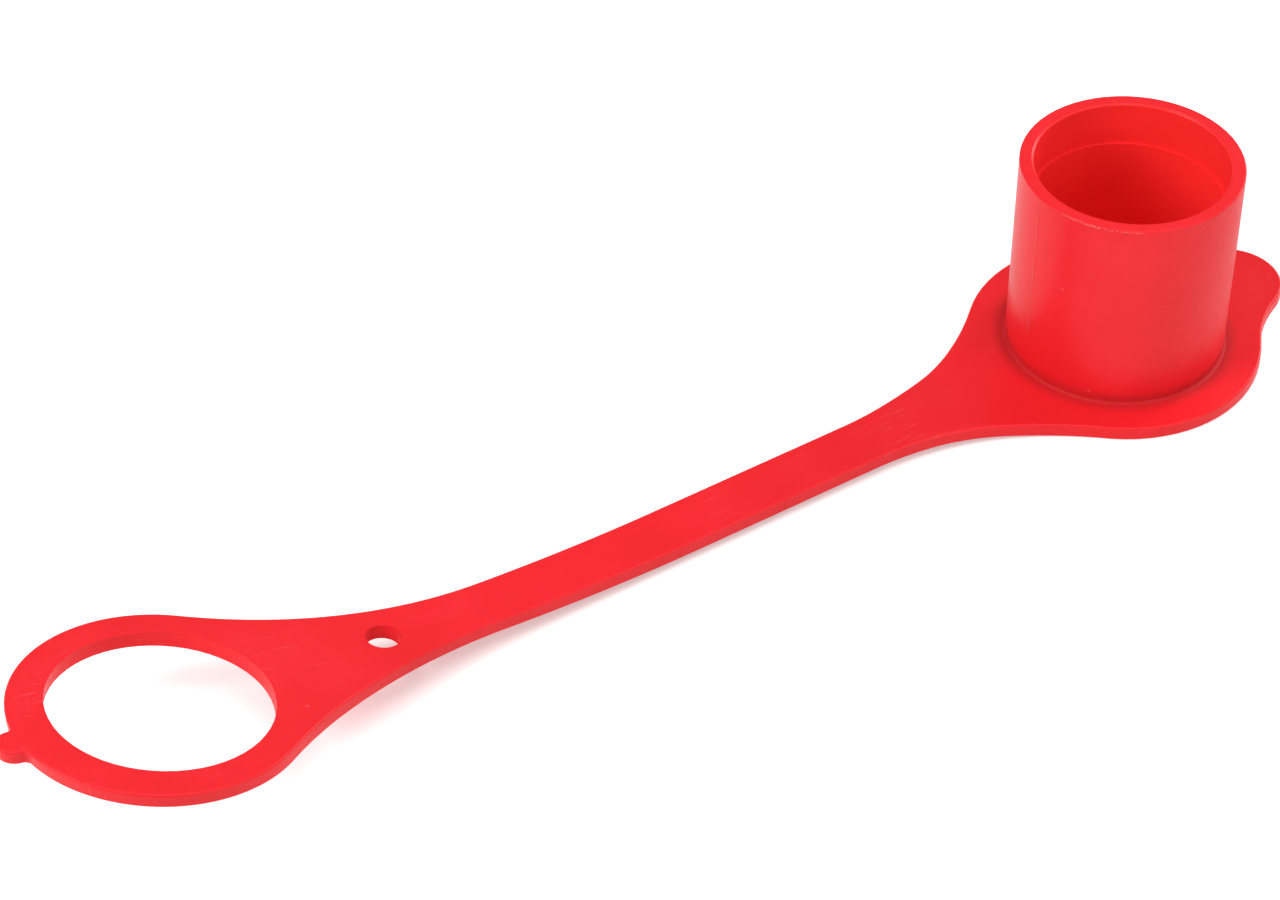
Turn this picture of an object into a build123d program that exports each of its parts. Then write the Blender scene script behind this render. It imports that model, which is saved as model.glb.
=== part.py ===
from build123d import *
from math import asin, cos, radians, sin, sqrt, tan
import os

# Push-on protection cap for a male pipe thread: a blind cup with a stepped bore, standing on a
# thin plate that runs out as flange, end tab, strap and retaining ring. One soft plastic moulding.
# Millimetres. Origin on the cup's axis at the underside of the flange, +Z out of the cup's mouth,
# strap and ring towards -X, end tab towards +X.

# Cup
mouth_bore_diameter = 26.2
mouth_bore_depth = 6.5
mouth_wall = 1.9
ledge_width = 0.3  # the grip bore is narrower than the mouth by this much all round
floor_thickness = 2.6
cup_height = 31.3  # underside of the flange to the rim
rim_round = 0.25
mouth_chamfer = 0.3
root_round = 0.4

# Flange and end tab
plate_thickness = 2.0
plate_edge_round = 0.3
flange_margin = 5.2  # flange beyond the cup's wall
tab_margin = 7.8  # tip of the tab beyond the flange
tab_end_radius = 7.2
tab_blend_radius = 20.0

# Strap
strap_width = 7.8
strap_blend_at_flange = 45.0
strap_blend_at_ring = 65.0
tie_hole_diameter = 4.5
tie_hole_from_ring = 30.3  # centre to centre, seen from above

# Ring
ring_distance = 146.6  # cup axis to the ring's centre, seen from above
ring_bore_diameter = 27.6
ring_band_width = 4.1
nub_width = 4.2
nub_margin = 2.7  # how far the nub stands out from the ring
nub_blend_radius = 0.8

# Set of the soft plate: a low step lifts the strap beside the flange, and the ring end curls up.
# The creases lie askew to the strap, so the ring is rolled a little as well as pitched.
curl_skew = 19.0
step_margin = 2.0  # the step starts this far beyond the cup's wall
step_angle = 7.0
step_radius = 70.0
curl_start = 68.0
curl_radius = 258.0
curl_angle = 12.4

# Worked out from the sizes above
cup_radius = mouth_bore_diameter / 2 + mouth_wall
flange_radius = cup_radius + flange_margin
tab_centre = flange_radius + tab_margin - tab_end_radius
ring_outer_radius = ring_bore_diameter / 2 + ring_band_width
nub_centre = ring_outer_radius + nub_margin - nub_width / 2
tie_hole_distance = ring_distance - tie_hole_from_ring
sheet_half_width = ring_distance  # wider than the outline at any skew
curl_direction = Vector(-cos(radians(curl_skew)), -sin(radians(curl_skew)), 0)
profile_plane = Plane(origin=(0, 0, 0), x_dir=curl_direction, z_dir=curl_direction.cross(Vector(0, 0, 1)))
step_height = 2 * step_radius * (1 - cos(radians(step_angle)))


# Concave blend between a disc and a straight strip: its arc's centre, counted from the disc's
def blend_to_strip(disc_radius, strip_width, blend_radius):
    across = strip_width / 2 + blend_radius
    return sqrt((disc_radius + blend_radius) ** 2 - across**2), across


# Concave blend between a disc and a smaller disc at a distance from it
def blend_to_disc(disc_radius, end_radius, distance, blend_radius):
    reach = disc_radius + blend_radius
    along = (reach**2 - (end_radius + blend_radius) ** 2 + distance**2) / (2 * distance)
    return along, sqrt(reach**2 - along**2)


# The web that joins a disc to the form beside it: a kite from the disc's centre out to that form,
# cut tangent to both by the blend arcs, whose centres are its side corners
def web(end, side, blend_radius):
    mirrored = (side[0], -side[1])
    Polygon((0, 0), side, end, mirrored, align=None)
    with Locations(side, mirrored):
        Circle(blend_radius, mode=Mode.SUBTRACT)


# The plane on the underside of the curled sheet at a distance along the strap
def sheet_plane(distance):
    run = distance * cos(radians(curl_skew)) - curl_start
    bent_run = max(0, min(run, curl_radius * sin(radians(curl_angle))))
    slope = asin(bent_run / curl_radius)
    height = step_height + curl_radius * (1 - cos(slope)) + (run - bent_run) * tan(slope)
    normal = Vector(0, 0, 1) * cos(slope) - curl_direction * sin(slope)
    return Plane(origin=(-distance, 0, height), x_dir=(cos(slope), 0, -normal.X), z_dir=normal)


with BuildPart() as protection_cap:
    # Outline of flange, tab, strap and ring from above, joined by tangent concave arcs
    with BuildSketch():
        with Locations((-ring_distance, 0)):
            along, across = blend_to_strip(ring_outer_radius, strap_width, strap_blend_at_ring)
            web((along, 0), (along, across), strap_blend_at_ring)
            along, across = blend_to_disc(ring_outer_radius, nub_width / 2, nub_centre, nub_blend_radius)
            web((-nub_centre, 0), (-along, across), nub_blend_radius)
            Circle(ring_outer_radius)
        with Locations((-ring_distance - nub_centre, 0)):
            Circle(nub_width / 2)
        with Locations((-ring_distance / 2, 0)):
            Rectangle(ring_distance, strap_width)
        along, across = blend_to_strip(flange_radius, strap_width, strap_blend_at_flange)
        web((-along, 0), (-along, across), strap_blend_at_flange)
        along, across = blend_to_disc(flange_radius, tab_end_radius, tab_centre, tab_blend_radius)
        web((tab_centre, 0), (along, across), tab_blend_radius)
        Circle(flange_radius)
        with Locations((tab_centre, 0)):
            Circle(tab_end_radius)
    extrude(amount=ring_distance)

    # Side view of the sheet: flat under the cup, a low step, the level strap, then the curl
    with BuildSketch(profile_plane):
        with BuildLine():
            flat = Line((-ring_distance, 0), (cup_radius + step_margin, 0))
            rise = JernArc(start=flat @ 1, tangent=flat % 1, radius=step_radius, arc_size=step_angle)
            level = JernArc(start=rise @ 1, tangent=rise % 1, radius=step_radius, arc_size=-step_angle)
            strap = Line(level @ 1, (curl_start, (level @ 1).Y))
            curl = JernArc(start=strap @ 1, tangent=strap % 1, radius=curl_radius, arc_size=curl_angle)
            Line(curl @ 1, (curl @ 1) + (curl % 1) * ring_distance)
            offset(amount=plate_thickness, side=Side.LEFT)
        make_face()
    extrude(amount=sheet_half_width, both=True, mode=Mode.INTERSECT)
    outline_walls = protection_cap.faces().filter_by(lambda face: abs(face.normal_at().Z) < 0.5)
    fillet(outline_walls.edges().filter_by(Axis.Z, reverse=True), plate_edge_round)

    # Ring bore and tie hole, square to the sheet where they stand
    with BuildSketch(sheet_plane(ring_distance)):
        Circle(ring_bore_diameter / 2)
    extrude(amount=2 * plate_thickness, both=True, mode=Mode.SUBTRACT)
    with BuildSketch(sheet_plane(tie_hole_distance)):
        Circle(tie_hole_diameter / 2)
    extrude(amount=2 * plate_thickness, both=True, mode=Mode.SUBTRACT)

    # Cup, rounded where it leaves the plate, with its wide mouth and narrower grip bore
    with BuildSketch(Plane.XY.offset(plate_thickness)):
        Circle(cup_radius)
    extrude(amount=cup_height - plate_thickness)
    cup_circles = protection_cap.edges(Select.LAST).filter_by(GeomType.CIRCLE).sort_by(Axis.Z)
    fillet(cup_circles[0], root_round)
    with Locations((0, 0, cup_height)):
        CounterBoreHole(
            radius=mouth_bore_diameter / 2 - ledge_width,
            counter_bore_radius=mouth_bore_diameter / 2,
            counter_bore_depth=mouth_bore_depth,
            depth=cup_height - floor_thickness,
        )
    rim_edges = protection_cap.edges().filter_by(GeomType.CIRCLE).group_by(Axis.Z)[-1].sort_by(SortBy.RADIUS)
    chamfer(rim_edges[0], mouth_chamfer)
    fillet(rim_edges[-1], rim_round)

protection_cap.part.label = "protection_cap"
os.makedirs("parts", exist_ok=True)
export_step(protection_cap.part, "parts/protection_cap.step")
print("volume", protection_cap.part.volume, "solids", len(protection_cap.part.solids()))
print(protection_cap.part.bounding_box())
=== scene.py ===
from math import cos, radians, sin

import bpy
from mathutils import Matrix, Vector


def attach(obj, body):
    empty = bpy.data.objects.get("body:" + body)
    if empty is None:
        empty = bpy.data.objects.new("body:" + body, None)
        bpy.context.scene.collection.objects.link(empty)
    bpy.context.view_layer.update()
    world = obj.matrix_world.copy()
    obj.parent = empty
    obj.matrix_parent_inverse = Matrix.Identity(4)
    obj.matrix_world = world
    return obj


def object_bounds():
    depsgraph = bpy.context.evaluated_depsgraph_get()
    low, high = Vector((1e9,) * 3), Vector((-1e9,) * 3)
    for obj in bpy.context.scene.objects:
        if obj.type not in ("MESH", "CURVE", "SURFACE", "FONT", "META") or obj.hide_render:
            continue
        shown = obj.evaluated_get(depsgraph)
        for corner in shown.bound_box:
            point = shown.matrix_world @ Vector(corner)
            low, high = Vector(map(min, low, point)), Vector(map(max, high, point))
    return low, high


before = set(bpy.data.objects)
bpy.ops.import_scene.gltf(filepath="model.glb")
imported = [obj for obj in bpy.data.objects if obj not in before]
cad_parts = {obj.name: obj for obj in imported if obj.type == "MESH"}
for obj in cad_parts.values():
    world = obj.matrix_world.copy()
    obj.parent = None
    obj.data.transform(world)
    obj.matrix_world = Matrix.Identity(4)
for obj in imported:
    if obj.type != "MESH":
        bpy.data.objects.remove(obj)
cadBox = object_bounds()
scene = bpy.context.scene
scene.view_settings.view_transform = "Standard"
mm = 0.001

view = {
    "eye": (-0.25679, -0.27539, 0.31139),
    "aim": (-0.06968, 0.01291, 0.005),
    "roll": -0.38,  # degrees about the line of sight
    "lens": 98.44,
    "sensor": 36.0,
    "clip": (0.01, 20),
}

camera = bpy.data.objects.new("camera", bpy.data.cameras.new("camera"))
scene.collection.objects.link(camera)
toAim = Vector(view["aim"]) - Vector(view["eye"])
turn = toAim.to_track_quat("-Z", "Y").to_matrix()
turn = turn @ Matrix.Rotation(radians(view["roll"]), 3, "Z")
camera.matrix_world = Matrix.Translation(view["eye"]) @ turn.to_4x4()
camera.data.lens = view["lens"]
camera.data.sensor_width = view["sensor"]
camera.data.clip_start, camera.data.clip_end = view["clip"]
scene.camera = camera
print("camera set")


# a wrapped socket, so that shader maths reads as plain expressions
class Wire:
    def __init__(self, tree, socket):
        self.tree = tree
        self.socket = socket

    def maths(self, operation, *values):
        return node(self.tree, "ShaderNodeMath", {"operation": operation}, *values)

    def also(self, name):  # another output of the same node
        return Wire(self.tree, self.socket.node.outputs[name])

    def into(self, shader, name):
        self.tree.links.new(self.socket, shader.inputs[name])

    def __add__(self, other):
        return self.maths("ADD", self, other)

    def __radd__(self, other):
        return self.maths("ADD", other, self)

    def __sub__(self, other):
        return self.maths("SUBTRACT", self, other)

    def __rsub__(self, other):
        return self.maths("SUBTRACT", other, self)

    def __mul__(self, other):
        return self.maths("MULTIPLY", self, other)

    def __rmul__(self, other):
        return self.maths("MULTIPLY", other, self)

    def __truediv__(self, other):
        return self.maths("DIVIDE", self, other)

    def __rtruediv__(self, other):
        return self.maths("DIVIDE", other, self)

    def __pow__(self, other):
        return self.maths("POWER", self, other)

    def __rpow__(self, other):
        return self.maths("POWER", other, self)


# any node: its type and settings, then the values or links of its sockets by order or by name,
# with _ for a space; gives the output asked for
def node(tree, kind, settings=None, *values, out=0, **named):
    made = tree.nodes.new(kind)
    for name, value in (settings or {}).items():
        if name == "stops":
            ramp = made.color_ramp
            while len(ramp.elements) < len(value):
                ramp.elements.new(0.5)
            for element, (place, colour) in zip(ramp.elements, value):
                element.position = place
                element.color = (*colour, 1)
        else:
            setattr(made, name, value)
    sockets = list(zip(made.inputs, values))
    sockets += [(made.inputs[name.replace("_", " ")], value) for name, value in named.items()]
    for socket, value in sockets:
        if isinstance(value, Wire):
            tree.links.new(value.socket, socket)
        elif socket.type == "RGBA" and len(value) == 3:
            socket.default_value = (*value, 1)
        else:
            socket.default_value = value
    return Wire(tree, made.outputs[out])


def smoothStep(value, low, high):  # 0 at low, 1 at high, also with low above high
    settings = {"interpolation_type": "SMOOTHSTEP"}
    return node(value.tree, "ShaderNodeMapRange", settings, value, low, high, 0.0, 1.0)


def noise(place, scale, detail):
    return node(place.tree, "ShaderNodeTexNoise", Vector=place, Scale=scale, Detail=detail)


def tinted(base, mask, colour):
    settings = {"data_type": "RGBA"}
    return node(base.tree, "ShaderNodeMix", settings, out=2, Factor=mask, A=base, B=colour)


cap = {
    "node": "protection_cap",
    "cupRadius": 15.0 * mm,
    "cupTop": cadBox[1].z,
    "plateTop": 2.0 * mm,
    "ringX": -146.6 * mm,
}

# where each mark shows: nothing of it at the first value, all of it at the second
zones = {
    "wallRadius": (cap["cupRadius"] - 0.4 * mm, cap["cupRadius"] - 0.1 * mm),
    "wallHeight": (4 * mm, 9 * mm),
    "pebbledSide": (0.55, 1.0),  # cosine of the angle from the middle of that side
    "cup": (30 * mm, 18 * mm),
    "scuffPatch": (0.50, 0.64),
    "streak": (0.66, 0.74),
    "ring": (20 * mm, 15 * mm),
    "scratchPatch": (0.42, 0.58),
    "speckChosen": (0.955, 0.965),
    "speckOutside": (0.05, 0.11),
    # where the painted light in the bore reaches
    "boreRadius": (cap["cupRadius"] - 1.6 * mm, cap["cupRadius"] - 1.85 * mm),
    "boreHeight": (cap["plateTop"], cap["plateTop"] + 0.5 * mm),
    # where the painted shade in the crease reaches
    "crease": (2.2 * mm, 0.1 * mm),
}

softPlastic = {
    "colour": (0.78, 0.0150, 0.0220),
    "deepColour": (0.73, 0.0140, 0.0185),
    "paleColour": (0.81, 0.0200, 0.0280),
    "cloudsPerMetre": 70.0,
    "toneMix": (0.8, 0.2),  # clouds, grain
    "toneStops": (0.30, 0.50, 0.72),  # deep, middle, pale
    "roughness": 0.34,
    "roughnessSpread": 0.10,
    "specular": 0.20,
    "subsurface": 0.12,
    "subsurfaceDepth": 1.2 * mm,
    "subsurfaceTint": (1.0, 0.2, 0.15),
    "grainPerMetre": 2100.0,
    "grainHeight": 0.010 * mm,
    "pebbleHeight": 0.09 * mm,
    "pebbleSide": -82.0,  # degrees about the cup's axis, where the pebbles are strongest
    "scuffColour": (0.84, 0.075, 0.085),
    "scuffDepth": 0.02 * mm,
    "scuffStretch": (260, 2400, 400),
    "scuffRuns": ((28, 3.0), (-40, 7.0), (75, 12.0)),  # direction in degrees, shift
    "scratchesPerMetre": 3800.0,
    "scratchesPerRadian": 1.6,
    "specksPerMetre": 420.0,
    "speckHeight": 0.05 * mm,
    # painted light: the bore's paler colour stands in for light let through the thin wall
    "paintedBoreLight": (0.93, 0.032, 0.032),
    # painted shade: a darker colour in the crease at the cup's foot
    "paintedCreaseShade": (0.42, 0.010, 0.014),
    "creaseInset": 0.15 * mm,  # its middle, out from the cup and up from the plate
    "creaseDarkness": (0.3, 0.6),  # everywhere, and with the clouds
    "wearTint": (0.38, 0.38, 0.8),  # scuffs, scratches, specks
    "wearRoughness": (0.2, 0.06, 0.5),  # worn, pebbled, creased
}

# painted highlight: flash and parting line get paler colours than the body, standing in for the
# highlights along their thin edges
paintedHighlightEdges = {
    **softPlastic,
    "colour": (0.84, 0.10, 0.11),
    "deepColour": (0.80, 0.05, 0.06),
    "paleColour": (0.86, 0.16, 0.17),
}


# moulded soft plastic: faint clouds, fine grain, a pebbled side, scuffs, ring scratches and
# specks, with painted light in the bore and painted shade in the crease
def makeSoftPlastic(name, look):
    material = bpy.data.materials.new(name)
    material.use_nodes = True
    tree = material.node_tree
    shader = tree.nodes["Principled BSDF"]
    place = node(tree, "ShaderNodeTexCoord", out="Object")
    x = node(tree, "ShaderNodeSeparateXYZ", {}, place)
    y, z = x.also("Y"), x.also("Z")
    fromAxis = (x * x + y * y) ** 0.5
    clouds = noise(place, look["cloudsPerMetre"], 3.0)
    grain = noise(place, look["grainPerMetre"], 2.0)

    # pebbles: on the cup's wall only, strongest on one side, thinning out below
    onWall = smoothStep(fromAxis, *zones["wallRadius"]) * smoothStep(z, *zones["wallHeight"])
    side = radians(look["pebbleSide"])
    sideways = (x * cos(side) + y * sin(side)) / cap["cupRadius"]
    pebbled = onWall * smoothStep(sideways, *zones["pebbledSide"])

    # scuffs: thin streaks in a few directions, in patches, away from the cup
    onPlate = 1 - smoothStep(fromAxis, *zones["cup"])
    patches = smoothStep(clouds, *zones["scuffPatch"])
    streaks = []
    for direction, shift in look["scuffRuns"]:
        stretched = node(
            tree, "ShaderNodeMapping", {}, place,
            (shift, 0, 0), (0, 0, radians(direction)), look["scuffStretch"],
        )
        streaks.append(smoothStep(noise(stretched, 1.0, 2.0), *zones["streak"]))
    scuffed = (streaks[0] + streaks[1] + streaks[2]) * patches * onPlate

    # ring scratches: fine arcs about the ring's bore, as if it had turned on a neck
    ringX = x - cap["ringX"]
    fromRing = (ringX * ringX + y * y) ** 0.5
    around = x.maths("ARCTAN2", y, ringX)
    unrolled = node(
        tree, "ShaderNodeCombineXYZ", {},
        fromRing * look["scratchesPerMetre"], around * look["scratchesPerRadian"], 0.0,
    )
    arcs = smoothStep(noise(unrolled, 1.0, 2.0), *zones["streak"])
    onRing = smoothStep(fromRing, *zones["ring"])
    scratched = arcs * onRing * smoothStep(clouds, *zones["scratchPatch"])

    # specks: a few tiny raised crumbs, in the cells whose random tone is the highest
    cells = node(tree, "ShaderNodeTexVoronoi", Vector=place, Scale=look["specksPerMetre"])
    tone = node(tree, "ShaderNodeSeparateColor", {}, cells.also("Color"))
    chosen = smoothStep(tone, *zones["speckChosen"])
    specks = chosen * (1 - smoothStep(cells, *zones["speckOutside"]))

    # painted light: the bore gets a paler colour, standing in for the light that the thin cup wall
    # lets through
    boreLightMask = smoothStep(fromAxis, *zones["boreRadius"]) * smoothStep(z, *zones["boreHeight"])

    # painted shade: the crease at the foot of the cup is darkened in its colour, standing in for
    # the shade that falls there
    creaseX = fromAxis - cap["cupRadius"] - look["creaseInset"]
    creaseZ = z - cap["plateTop"] - look["creaseInset"]
    fromCrease = (creaseX * creaseX + creaseZ * creaseZ) ** 0.5
    evenDark, cloudyDark = look["creaseDarkness"]
    creaseShadeMask = smoothStep(fromCrease, *zones["crease"]) * (evenDark + clouds * cloudyDark)

    ramp = {"stops": list(zip(
        look["toneStops"], (look["deepColour"], look["colour"], look["paleColour"]),
    ))}
    cloudShare, grainShare = look["toneMix"]
    base = node(tree, "ShaderNodeValToRGB", ramp, clouds * cloudShare + grain * grainShare)
    scuffTint, scratchTint, speckTint = look["wearTint"]
    worn = scuffed * scuffTint + scratched * scratchTint + specks * speckTint
    base = tinted(base, worn, look["scuffColour"])
    # painted light in the bore
    base = tinted(base, boreLightMask, look["paintedBoreLight"])
    # painted shade in the crease
    base = tinted(base, creaseShadeMask, look["paintedCreaseShade"])
    base.into(shader, "Base Color")

    rough = look["roughness"] + (clouds - 0.5) * look["roughnessSpread"]
    wornRough, pebbleRough, creaseRough = look["wearRoughness"]
    rough = rough + worn * wornRough + pebbled * pebbleRough + creaseShadeMask * creaseRough
    rough.into(shader, "Roughness")

    height = grain * look["grainHeight"] + grain * pebbled * look["pebbleHeight"]
    height = height - (scuffed + scratched) * look["scuffDepth"] + specks * look["speckHeight"]
    relief = node(tree, "ShaderNodeBump", {}, Strength=1.0, Distance=1.0, Height=height)
    relief.into(shader, "Normal")

    shader.inputs["Specular IOR Level"].default_value = look["specular"]
    shader.inputs["Subsurface Weight"].default_value = look["subsurface"]
    shader.inputs["Subsurface Radius"].default_value = look["subsurfaceTint"]
    shader.inputs["Subsurface Scale"].default_value = look["subsurfaceDepth"]
    return material


bodyPlastic = makeSoftPlastic("softPlastic", softPlastic)
# painted highlight on the flash and parting line
highlightEdgePlastic = makeSoftPlastic("paintedHighlightPlastic", paintedHighlightEdges)
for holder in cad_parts[cap["node"]].material_slots:
    holder.material = bodyPlastic
print("cap body finished")


# a Geometry Nodes tree and wires from its named inputs
def newTree(name, inputs):
    tree = bpy.data.node_groups.new(name, "GeometryNodeTree")
    tree.interface.new_socket("Geometry", in_out="OUTPUT", socket_type="NodeSocketGeometry")
    for label, kind in inputs.items():
        tree.interface.new_socket(label, in_out="INPUT", socket_type="NodeSocket" + kind)
    given = tree.nodes.new("NodeGroupInput")
    return tree, {label: Wire(tree, given.outputs[label]) for label in inputs}


def endTree(tree, shape, material):
    whole = node(tree, "GeometryNodeRealizeInstances", {}, shape)
    painted = node(tree, "GeometryNodeSetMaterial", {}, Geometry=whole, Material=material)
    painted.into(tree.nodes.new("NodeGroupOutput"), "Geometry")


# runs the tree with these values, keeps the result as a plain mesh and puts it on the cap
def grow(name, tree, values):
    piece = bpy.data.objects.new(name, bpy.data.meshes.new(name))
    scene.collection.objects.link(piece)
    modifier = piece.modifiers.new(name, "NODES")
    modifier.node_group = tree
    for socket in tree.interface.items_tree:
        if socket.in_out == "INPUT":
            modifier[socket.identifier] = values[socket.name]
    bpy.context.view_layer.update()
    graph = bpy.context.evaluated_depsgraph_get()
    mesh = bpy.data.meshes.new_from_object(piece.evaluated_get(graph))
    piece.modifiers.clear()
    piece.data = mesh
    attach(piece, "root")
    print(name, "polygons", len(mesh.polygons))


# the mould's parting line: a hair-thin ridge up the cup's wall, uneven in width
seam = {
    "thickness": 0.08 * mm,
    "proud": 0.035 * mm,
    "bottom": 8.0 * mm,
    "belowRim": 0.5 * mm,
    "angles": {"front": 177.0, "back": -3.0},  # degrees about the cup's axis
    "points": 48,
    "sides": 8,
    "unevenPerMetre": 420.0,
    "unevenWidth": (0.9, 0.35),  # with the noise, and everywhere
}


def makeSeamTree():
    tree, given = newTree(
        "mouldSeam",
        {"Foot": "Vector", "Head": "Vector", "Thickness": "Float", "Material": "Material"},
    )
    line = node(tree, "GeometryNodeCurvePrimitiveLine", {}, given["Foot"], given["Head"])
    line = node(tree, "GeometryNodeResampleCurve", {}, Curve=line, Count=seam["points"])
    uneven = node(tree, "ShaderNodeTexNoise", Scale=seam["unevenPerMetre"], Detail=1.0)
    noisy, even = seam["unevenWidth"]
    width = (uneven * noisy + even) * given["Thickness"]
    section = node(
        tree, "GeometryNodeCurvePrimitiveCircle", {}, Resolution=seam["sides"], Radius=1.0,
    )
    ridge = node(
        tree, "GeometryNodeCurveToMesh", {},
        Curve=line, Profile_Curve=section, Scale=width, Fill_Caps=True,
    )
    endTree(tree, ridge, given["Material"])
    return tree


seamTree = makeSeamTree()
for label, angle in seam["angles"].items():
    reach = cap["cupRadius"] - seam["thickness"] * 0.5 + seam["proud"]
    foot = (reach * cos(radians(angle)), reach * sin(radians(angle)), seam["bottom"])
    head = (foot[0], foot[1], cap["cupTop"] - seam["belowRim"])
    values = {"Foot": foot, "Head": head, "Thickness": seam["thickness"], "Material": highlightEdgePlastic}
    grow("mouldSeam_" + label, seamTree, values)

# ragged flash left along stretches of the rim, where the mould halves met badly
flash = {
    # name: radius, depth below the rim, start and sweep in degrees, how many, size
    "rimFlash_outer": (14.92 * mm, 0.17 * mm, -166.0, 42.0, 52, 0.13 * mm),
    "rimFlash_inner": (13.32 * mm, 0.14 * mm, 36.0, 12.0, 7, 0.09 * mm),
    "rimFlash_nick": (12.98 * mm, 0.22 * mm, 8.0, 4.0, 4, 0.09 * mm),
}

# each crumb of flash: the lowest and highest of its random shift, stretch and turn
crumbs = {
    "shift": ((-0.1 * mm, -0.1 * mm, -0.08 * mm), (0.04 * mm, 0.04 * mm, 0.0)),
    "stretch": ((0.5, 0.4, 0.4), (2.6, 1.0, 1.0)),
    "turn": ((0, 0, 0), (0.5, 0.5, 3.1)),
    "subdivisions": 2,
    "arcPoints": 64,
    "seedStep": 10,
}


def makeFlashTree():
    tree, given = newTree(
        "rimFlash",
        {
            "Radius": "Float", "Height": "Float", "Start": "Float", "Sweep": "Float",
            "Count": "Int", "Size": "Float", "Seed": "Int", "Material": "Material",
        },
    )
    vectors = {"data_type": "FLOAT_VECTOR"}
    arc = node(
        tree, "GeometryNodeCurveArc", {}, Resolution=crumbs["arcPoints"], Radius=given["Radius"],
        Start_Angle=given["Start"], Sweep_Angle=given["Sweep"],
    )
    spots = node(
        tree, "GeometryNodeCurveToPoints", {"mode": "COUNT"}, Curve=arc, Count=given["Count"],
    )
    lift = node(tree, "ShaderNodeCombineXYZ", {}, 0.0, 0.0, given["Height"])
    shift = node(
        tree, "FunctionNodeRandomValue", vectors, *crumbs["shift"], Seed=given["Seed"],
    )
    offset = node(tree, "ShaderNodeVectorMath", {"operation": "ADD"}, lift, shift)
    spots = node(tree, "GeometryNodeSetPosition", {}, Geometry=spots, Offset=offset)
    crumb = node(
        tree, "GeometryNodeMeshIcoSphere", {},
        Radius=given["Size"], Subdivisions=crumbs["subdivisions"],
    )
    stretch = node(
        tree, "FunctionNodeRandomValue", vectors, *crumbs["stretch"], Seed=given["Seed"] + 1,
    )
    turned = node(
        tree, "FunctionNodeRandomValue", vectors, *crumbs["turn"], Seed=given["Seed"] + 2,
    )
    row = node(
        tree, "GeometryNodeInstanceOnPoints", {},
        Points=spots, Instance=crumb, Rotation=turned, Scale=stretch,
    )
    endTree(tree, row, given["Material"])
    return tree


flashTree = makeFlashTree()
for order, (label, run) in enumerate(flash.items()):
    radius, depth, start, sweep, count, size = run
    values = {
        "Radius": radius, "Height": cap["cupTop"] - depth, "Start": radians(start),
        "Sweep": radians(sweep), "Count": count, "Size": size, "Seed": order * crumbs["seedStep"],
        "Material": highlightEdgePlastic,
    }
    grow(label, flashTree, values)
print("moulding marks finished")

# pale floor, white to the camera, that still takes the cap's soft shadow
floor = {"width": 1.8, "colour": (0.90, 0.90, 0.90), "roughness": 0.9, "lift": 0.34}


def makeFloor():
    half = floor["width"] / 2
    corners = [(-half, -half, 0), (half, -half, 0), (half, half, 0), (-half, half, 0)]
    mesh = bpy.data.meshes.new("studioFloor")
    mesh.from_pydata(corners, [], [(0, 1, 2, 3)])
    material = bpy.data.materials.new("studioWhite")
    material.use_nodes = True
    tree = material.node_tree
    shader = tree.nodes["Principled BSDF"]
    shader.inputs["Base Color"].default_value = (*floor["colour"], 1)
    shader.inputs["Roughness"].default_value = floor["roughness"]
    shader.inputs["Specular IOR Level"].default_value = 0.0
    shader.inputs["Emission Strength"].default_value = floor["lift"]
    seen = node(tree, "ShaderNodeLightPath", out="Is Camera Ray")
    glow = node(
        tree, "ShaderNodeMix", {"data_type": "RGBA"}, out=2,
        Factor=seen, A=(0, 0, 0), B=(1, 1, 1),
    )
    glow.into(shader, "Emission Color")
    mesh.materials.append(material)
    sheet = bpy.data.objects.new("studioFloor", mesh)
    scene.collection.objects.link(sheet)


makeFloor()
print("floor laid")

# plain studio: an even surround and large soft boxes
studio = {
    "surround": 0.32,
    "boxes": {
        # name: place, aim, width, height, watts
        "topBox": ((-0.05, -0.18, 1.0), (-0.04, 0.0, 0.0), 0.8, 0.8, 4.7),
        "leftBox": ((-0.75, 0.10, 0.50), (0.0, 0.0, 0.02), 0.4, 0.4, 4.4),
        "frontBox": ((0.20, -0.80, 0.35), (-0.02, 0.0, 0.02), 0.5, 0.4, 1.9),
        "rightBox": ((0.65, 0.10, 0.30), (0.0, 0.0, 0.02), 0.25, 0.5, 2.5),
    },
}


def makeStudio():
    world = bpy.data.worlds.new("studioSurround")
    scene.world = world
    world.use_nodes = True
    tree = world.node_tree
    background = tree.nodes["Background"]
    background.inputs["Color"].default_value = (1, 1, 1, 1)
    seen = node(tree, "ShaderNodeLightPath", out="Is Camera Ray")
    strength = studio["surround"] + seen * (1 - studio["surround"])
    strength.into(background, "Strength")
    for name, (place, aim, width, height, watts) in studio["boxes"].items():
        lamp = bpy.data.lights.new(name, "AREA")
        lamp.shape = "RECTANGLE"
        lamp.size = width
        lamp.size_y = height
        lamp.energy = watts
        box = bpy.data.objects.new(name, lamp)
        box.location = place
        box.rotation_euler = (Vector(aim) - Vector(place)).to_track_quat("-Z", "Y").to_euler()
        scene.collection.objects.link(box)


makeStudio()
print("studio lit")
